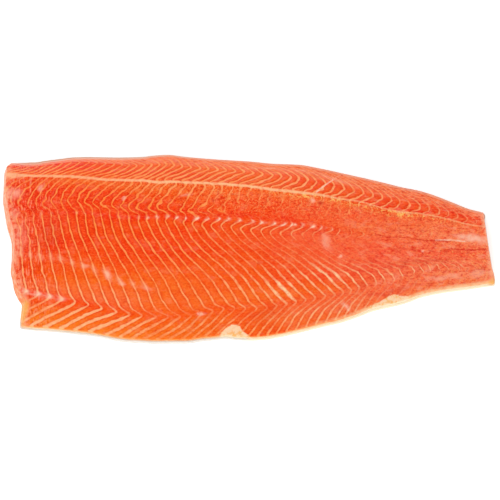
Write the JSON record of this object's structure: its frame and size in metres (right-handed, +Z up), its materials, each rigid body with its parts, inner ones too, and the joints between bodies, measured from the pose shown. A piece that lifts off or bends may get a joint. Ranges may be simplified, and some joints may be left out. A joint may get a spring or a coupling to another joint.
{
  "type": "trout fillet",
  "caption": "Raw trout fillet lying skin side down, thin at the belly and thick along the back, with rows of muscle in relief and its skin beneath.",
  "frame": {"origin": "middle of the fillet's box, on the flat underside of the skin", "axes": "+X from the head cut to the tail cut, +Y from the belly edge to the back edge, +Z up out of the cut side of the flesh"},
  "size_m": [0.4454, 0.1864, 0.0298],
  "materials": {
    "flesh": "moist orange-red fish flesh with pale lines between the muscles",
    "skin": "wet fish skin, pale at the belly, dark and spotted at the back"
  },
  "bodies": {
    "root": {"flesh": "flesh", "skin": "skin"}
  },
  "joints": []
}
